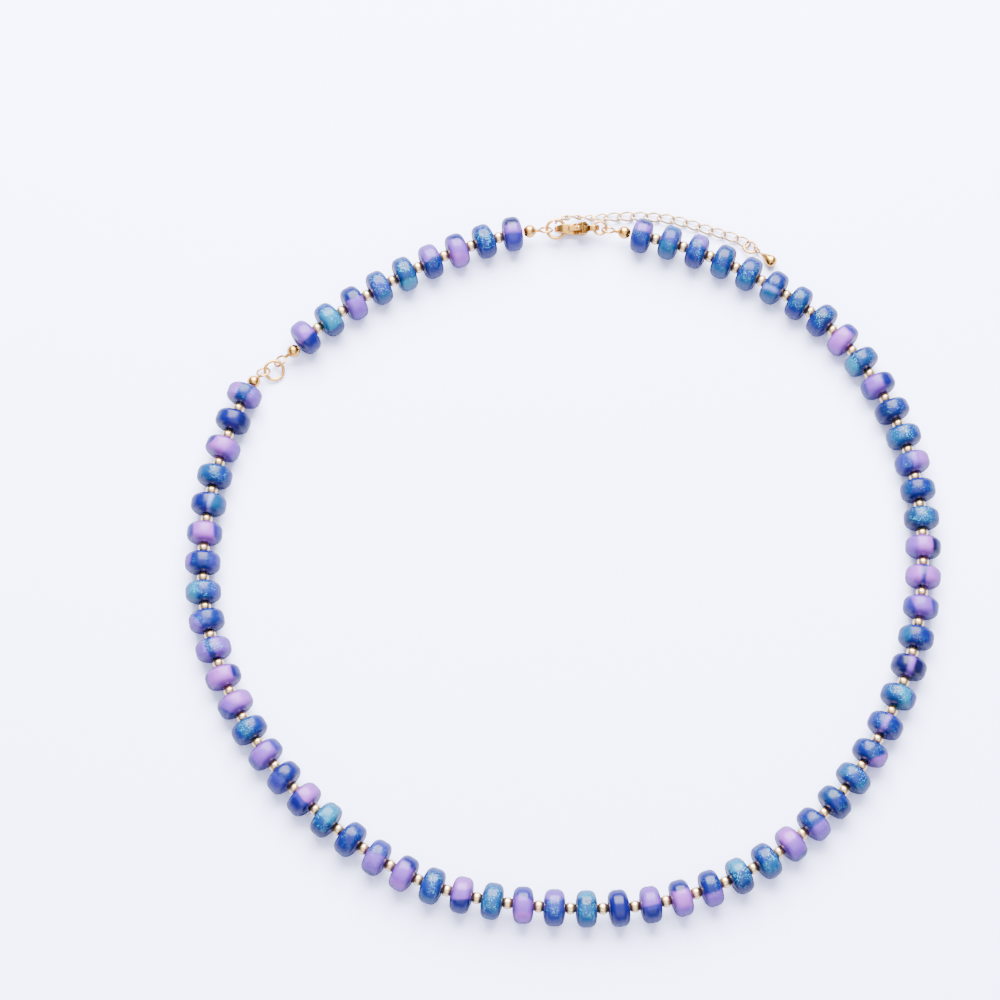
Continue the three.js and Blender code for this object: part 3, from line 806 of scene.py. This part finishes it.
# The claw clasp's body: cast brass, tumbled round and plated. It has a tail eye for the small
# ring, a riveted boss with a slot for the lever, and a curved jaw whose nose meets the lever.
CLASP_LENGTH = 10.6
CLASP_WIDTH = 5.4
CLASP_TAIL_THICKNESS = 2.9
CLASP_CLAW_THICKNESS = 2.0
CLASP_NOSE_THICKNESS = 1.2
CLASP_NOSE = 1.8
CLASP_RAIL = 1.3
TAIL_DIAMETER = 2.9
TAIL_HOLE = 1.7
TAIL_EYE_THICKNESS = 1.3
OPENING_START = 5.0
PIVOT = Vector((3.7, 0.95, 0))
PIVOT_BOSS = 2.5
LEVER_REACH = 3.8
LEVER_HUB = 2.0
LEVER_SLOT = 3.0
LEVER_THICKNESS = 1.1
LEVER_DEPTH = 1.1
LEVER_CLEARANCE = 0.2
LEVER_SWEEP = (-30, 75)
MOUTH_GAP = 0.3
RIVET_DIAMETER = 0.7
CLASP_ROUNDING = 0.25
CLASP_EDGE = 0.1
RIVET_PROUD = 0.1
RIVET_EDGE = 0.08
CLASP_TIP = Vector((-0.25, 80.95, CLASP_HEIGHT))
CLASP_HEADING = 181


def arc(middle, radius, start, end, steps):
    """Points of an arc, from one angle to another in degrees."""
    angles = [math.radians(start + (end - start) * i / steps) for i in range(steps + 1)]
    return [(middle[0] + radius * math.cos(a), middle[1] + radius * math.sin(a)) for a in angles]


def bow(start, control, end, steps):
    """Points of a bend that leaves towards a control point and arrives from it."""
    shares = [i / steps for i in range(1, steps + 1)]
    return [
        tuple(
            (1 - s) ** 2 * a + 2 * s * (1 - s) * c + s * s * b
            for a, c, b in zip(start, control, end)
        )
        for s in shares
    ]


def plate(name, outlines, thickness, rounding=0.0):
    """A flat outline with its holes, thickened evenly and rounded at its edges."""
    flat = bpy.data.curves.new(name, "CURVE")
    flat.dimensions = "2D"
    flat.fill_mode = "BOTH"
    flat.extrude = thickness / 2 - rounding
    flat.bevel_depth = rounding
    flat.bevel_resolution = 3
    flat.offset = -rounding
    for outline in outlines:
        spline = flat.splines.new("POLY")
        spline.points.add(len(outline) - 1)
        for point, (x, y) in zip(spline.points, outline):
            point.co = (x, y, 0, 1)
        spline.use_cyclic_u = True
    piece = bpy.data.objects.new(name, flat)
    bpy.context.scene.collection.objects.link(piece)
    pick(piece)
    bpy.ops.object.convert(target="MESH")
    piece = bpy.context.object
    open_mesh(piece, "VERT")
    bpy.ops.mesh.select_all(action="SELECT")
    bpy.ops.mesh.remove_doubles(threshold=0.004)
    close_mesh(piece)
    return piece


tail = TAIL_DIAMETER / 2
half = CLASP_WIDTH / 2
bow_middle = CLASP_LENGTH - half
jaw = arc((tail, 0), tail, 60, 300, 24)
jaw += bow(jaw[-1], (PIVOT.x, -half), (bow_middle, -half), 10)
jaw += arc((bow_middle, 0), half, -88, 90, 24)
jaw += [(OPENING_START, half)]
shoulder = (tail * 1.5, tail * math.sin(math.radians(60)))
jaw += bow((OPENING_START, half), (PIVOT.x, half), shoulder, 8)
inner = half - CLASP_RAIL
opening = arc((bow_middle, 0), inner, 90, -90, 20)
opening += arc((OPENING_START + inner, 0), inner, -90, -270, 20)
eye = arc((tail, 0), TAIL_HOLE / 2, 360, 12, 24)
clasp = plate("clasp", [jaw[:-1], opening, eye], CLASP_TAIL_THICKNESS, CLASP_ROUNDING)


def half_thickness(along):
    """How thick the casting is to each side of its middle plane."""
    rows = [
        (-1.0, TAIL_EYE_THICKNESS),
        (TAIL_DIAMETER * 0.85, TAIL_EYE_THICKNESS),
        (PIVOT.x - LEVER_HUB / 4, CLASP_TAIL_THICKNESS),
        (PIVOT.x + LEVER_HUB / 2, CLASP_TAIL_THICKNESS),
        (CLASP_LENGTH - CLASP_NOSE, CLASP_CLAW_THICKNESS),
        (CLASP_LENGTH + 0.1, CLASP_NOSE_THICKNESS),
    ]
    for (x0, t0), (x1, t1) in zip(rows, rows[1:]):
        if along <= x1:
            return (t0 + (t1 - t0) * max(0.0, (along - x0) / (x1 - x0))) / 2
    return CLASP_NOSE_THICKNESS / 2


# The casting thins from its boss towards both ends, and the lever's sweep is cut out of it.
apply_modifier(clasp, "BEVEL", width=0.02, segments=1, limit_method="ANGLE")
for vertex in clasp.data.vertices:
    vertex.co.z *= half_thickness(vertex.co.x) / (CLASP_TAIL_THICKNESS / 2)
reach = LEVER_REACH + MOUTH_GAP
sweep_in, sweep_out = LEVER_SWEEP
sweep = arc(PIVOT, reach, sweep_in, sweep_out, 16)
sweep += arc(PIVOT, PIVOT_BOSS / 2, sweep_out, sweep_in, 12)
fused(clasp, plate("sweep", [sweep], CLASP_TAIL_THICKNESS * 2), "DIFFERENCE")


def pin(diameter, length):
    """A round pin or disc on the lever's axis."""
    bpy.ops.mesh.primitive_cylinder_add(
        vertices=32, radius=diameter / 2, depth=length, location=PIVOT
    )
    round_piece = bpy.context.object
    bpy.ops.object.transform_apply(location=True)
    return round_piece


fused(clasp, pin(LEVER_SLOT, LEVER_THICKNESS + 2 * LEVER_CLEARANCE), "DIFFERENCE")
softened(clasp, CLASP_EDGE)
rivet = pin(RIVET_DIAMETER, CLASP_TAIL_THICKNESS + RIVET_PROUD)
softened(rivet, RIVET_EDGE)
clasp_turn = math.radians(CLASP_HEADING)
clasp_place = place(
    CLASP_TIP - CLASP_LENGTH * Vector((math.cos(clasp_turn), math.sin(clasp_turn), 0)),
    CLASP_HEADING,
    0,
    90 - FACING_LEAN,
)
clasp_piece = joined([clasp, rivet], "claw_body")
settle(clasp_piece, clasp_place, "claw_body")
clasp_piece.data.materials.append(warm_gold)
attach(clasp_piece, "necklace")
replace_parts(clasp_piece, "clasp_body")

# The clasp's lever: a cast gate with a drilled hub on the rivet and a small thumb knob. A leaf
# spring inside the clasp, which doesn't show, holds it shut against the nose.
LEVER_SUNK = 0.1
HUB_SUNK = 0.02
LEVER_EDGE = 0.12
KNOB_DIAMETER = 0.9
KNOB_STRETCH = 1.35
KNOB_RISE = 0.2
top = half - PIVOT.y - LEVER_SUNK
gate = [
    (-LEVER_HUB / 3, 0.0),
    (LEVER_HUB / 2.4, -0.35),
    (LEVER_HUB / 2, top - LEVER_DEPTH),
    (math.sqrt(LEVER_REACH**2 - (top - LEVER_DEPTH) ** 2), top - LEVER_DEPTH),
    (math.sqrt(LEVER_REACH**2 - top**2), top),
    (LEVER_HUB / 2, top),
    (-LEVER_HUB / 4, LEVER_HUB / 2.5),
]
lever = plate("lever", [[(PIVOT.x + x, PIVOT.y + y) for x, y in gate]], LEVER_THICKNESS)
fused(lever, pin(LEVER_HUB, LEVER_THICKNESS - HUB_SUNK))
fused(lever, pin(RIVET_DIAMETER + 2 * LEVER_CLEARANCE, LEVER_THICKNESS * 2), "DIFFERENCE")
softened(lever, LEVER_EDGE)
bpy.ops.mesh.primitive_uv_sphere_add(segments=24, ring_count=16, radius=KNOB_DIAMETER / 2)
knob = bpy.context.object
knob.data.transform(
    Matrix.Translation((PIVOT.x + LEVER_HUB * 0.7, half + KNOB_RISE, 0))
    @ Matrix.Diagonal((1, KNOB_STRETCH, 1, 1))
)
smoothed(knob)
lever = joined([lever, knob], "claw_lever")
settle(lever, clasp_place, "claw_lever")
lever.data.materials.append(warm_gold)
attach(lever, "lever")
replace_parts(lever, "clasp_lever")

# The extension chain: fifteen links of fine wire, each soldered shut and twisted a quarter turn
# so that the chain lies flat. Plated in pale gold.
CHAIN_LINKS = 15
LINK_WIDTH = 2.55
LINK_WIRE = 0.5
LINK_PLAY = 0.2
LINK_TWIST = 45
LINK_ROUNDNESS = 0.7
RING_STAND_BACK = 0.4
CHAIN_STEPS = 200
CHAIN_WAY = [
    (3.5, 84.3, 2.6), (9.2, 84.6, 1.2), (18.5, 84.9, 0.9),
    (27.5, 83.9, 0.9), (36.5, 80.8, 0.9), (42.1, 78.75, 1.0),
]
LINK_ROLLS = [-50, -60, -50, -30, -10, 0, 0, 0, 0, 0, 0, 0, 0, 10, 10]


def on_ring(name, degrees, pull=0.0):
    """The middle of a ring's wire at an angle round it."""
    where, (diameter, wire), _ = RINGS[name]
    angle = math.radians(degrees)
    out = Vector((math.cos(angle), math.sin(angle), 0))
    return where @ (out * ((diameter - wire) / 2 + pull))


def stood_back(ring, toward, wire):
    """Where a chain's end stands behind the ring's wire that it hangs on."""
    return ring + (ring - toward).normalized() * (wire / 2 + RING_STAND_BACK)


chain_points = [Vector(p) for p in CHAIN_WAY]
chain_points.insert(0, stood_back(on_ring("claw_ring", 66), chain_points[0], JUMP_RING[1]))
chain_points.append(stood_back(on_ring("drop_ring", 178), chain_points[-1], DROP_RING[1]))
trail = [route_point(chain_points, i / CHAIN_STEPS)[0] for i in range(CHAIN_STEPS + 1)]
lengths = [0.0]
for one, other in zip(trail, trail[1:]):
    lengths.append(lengths[-1] + (other - one).length)


def chain_point(share):
    """A junction of the chain, at a share of its length."""
    wanted = share * lengths[-1]
    step = max(i for i, length in enumerate(lengths[:-1]) if length <= wanted + 1e-9)
    part = (wanted - lengths[step]) / (lengths[step + 1] - lengths[step])
    return route_point(chain_points, (step + part) / CHAIN_STEPS)[0]


def chain_link(length):
    """A round ring drawn out to a squared oval, and twisted along its length."""
    bpy.ops.mesh.primitive_torus_add(
        major_segments=36, minor_segments=10, major_radius=1, minor_radius=LINK_WIRE / 2
    )
    link = bpy.context.object
    long_half = (length - LINK_WIRE) / 2
    wide_half = (LINK_WIDTH - LINK_WIRE) / 2
    for vertex in link.data.vertices:
        angle = math.atan2(vertex.co.y, vertex.co.x)
        out = math.hypot(vertex.co.x, vertex.co.y) - 1
        cosine, sine = math.cos(angle), math.sin(angle)
        side = Vector((wide_half * cosine, long_half * sine, 0)).normalized() * out
        x = long_half * math.copysign(abs(cosine) ** LINK_ROUNDNESS, cosine)
        y = wide_half * math.copysign(abs(sine) ** LINK_ROUNDNESS, sine)
        spot = Vector((x, y, vertex.co.z)) + side
        vertex.co = Matrix.Rotation(math.radians(LINK_TWIST) * x / long_half, 3, "X") @ spot
    smoothed(link)
    return link


for i in range(CHAIN_LINKS):
    one, other = chain_point(i / CHAIN_LINKS), chain_point((i + 1) / CHAIN_LINKS)
    way = other - one
    link = chain_link(way.length + 2 * LINK_WIRE + LINK_PLAY)
    heading = math.degrees(math.atan2(way.y, way.x))
    droop = -math.degrees(math.asin(way.z / way.length))
    settle(link, place((one + other) / 2, heading, droop, LINK_ROLLS[i]), f"wire_link_{i + 1:02d}")
    link.data.materials.append(pale_gold)
    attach(link, "necklace")
    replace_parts(link, f"chain_link_{i + 1:02d}")

# The end drop: solid turned brass, its neck drawn out to a small wire eye that hangs on the
# drop ring. Plated in warm gold.
DROP_LENGTH = 4.8
DROP_DIAMETER = 2.8
DROP_EYE = (2.2, 0.4)
DROP_PULL = 0.15
DROP_PITCH = 4.7
DROP_BELLY = 0.74
DROP_NECK = 0.16
DROP_EDGE = 0.03
FLOOR_CLEARANCE = 0.05
bpy.ops.mesh.primitive_uv_sphere_add(segments=32, ring_count=28, radius=1)
drop = bpy.context.object
for vertex in drop.data.vertices:
    share = (1 - vertex.co.z) / 2
    spread = math.hypot(vertex.co.x, vertex.co.y)
    if share < DROP_BELLY:
        swell = share / DROP_BELLY
        wide = DROP_NECK + (1 - DROP_NECK) * swell * swell * (3 - 2 * swell)
        wide = wide if share > 0.001 else 0.0
    else:
        wide = math.sqrt(max(0.0, 1 - ((share - DROP_BELLY) / (1 - DROP_BELLY)) ** 2))
    if spread > 1e-6:
        vertex.co.x *= wide * DROP_DIAMETER / 2 / spread
        vertex.co.y *= wide * DROP_DIAMETER / 2 / spread
    vertex.co.z = share * DROP_LENGTH
eye_radius = (DROP_EYE[0] - DROP_EYE[1]) / 2
drop.data.transform(
    Matrix.Translation((eye_radius, 0, 0)) @ Matrix.Rotation(math.pi / 2, 4, "Y")
)
open_mesh(drop, "FACE")
close_mesh(drop)
bpy.ops.mesh.primitive_torus_add(
    major_segments=40, minor_segments=10, major_radius=eye_radius, minor_radius=DROP_EYE[1] / 2
)
drop_eye = bpy.context.object
drop_eye.data.transform(Matrix.Rotation(math.pi / 2, 4, "X"))
fused(drop, drop_eye)
softened(drop, DROP_EDGE)
hangs = on_ring("drop_ring", 20, DROP_PULL)
hangs.z = DROP_EYE[0] / 2 + FLOOR_CLEARANCE
settle(drop, place(hangs, -45, -DROP_PITCH, 0), "gold_drop")
drop.data.materials.append(warm_gold)
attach(drop, "necklace")
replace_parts(drop, "end_drop")

# The stage: a smooth white sheet under soft boxes, brightest from behind, so that shadows fall
# softly towards the viewer.
bpy.ops.mesh.primitive_plane_add(size=6, location=(0, 0, -0.0001))
floor = bpy.context.object
floor.name = "floor"
paper, sheet = new_material("white_card")
sheet.inputs["Base Color"].default_value = linear("#CCCFF6")
sheet.inputs["Roughness"].default_value = 0.6
floor.data.materials.append(paper)

NECKLACE_MIDDLE = Vector((0, 0, 0))


def soft_box(name, middle, size, watts):
    """A rectangular soft light that faces the middle of the necklace."""
    lamp = bpy.data.lights.new(name, "AREA")
    lamp.shape = "RECTANGLE"
    lamp.size, lamp.size_y = size
    lamp.energy = watts
    box = bpy.data.objects.new(name, lamp)
    bpy.context.scene.collection.objects.link(box)
    box.location = middle
    way = NECKLACE_MIDDLE - Vector(middle)
    box.rotation_euler = way.to_track_quat("-Z", "Y").to_euler()
    box.visible_camera = False


soft_box("main_box", (0.0, 0.6, 0.72), (0.9, 0.9), 126)
soft_box("near_card", (0.0, -0.75, 0.5), (0.9, 0.5), 6)
soft_box("top_card", (0.0, -0.35, 0.95), (1.2, 1.0), 17)

world = bpy.data.worlds.new("studio")
bpy.context.scene.world = world
world.use_nodes = True
sky = world.node_tree.nodes["Background"]
sky.inputs["Color"].default_value = linear("#CFD3FA")
sky.inputs["Strength"].default_value = 0.95
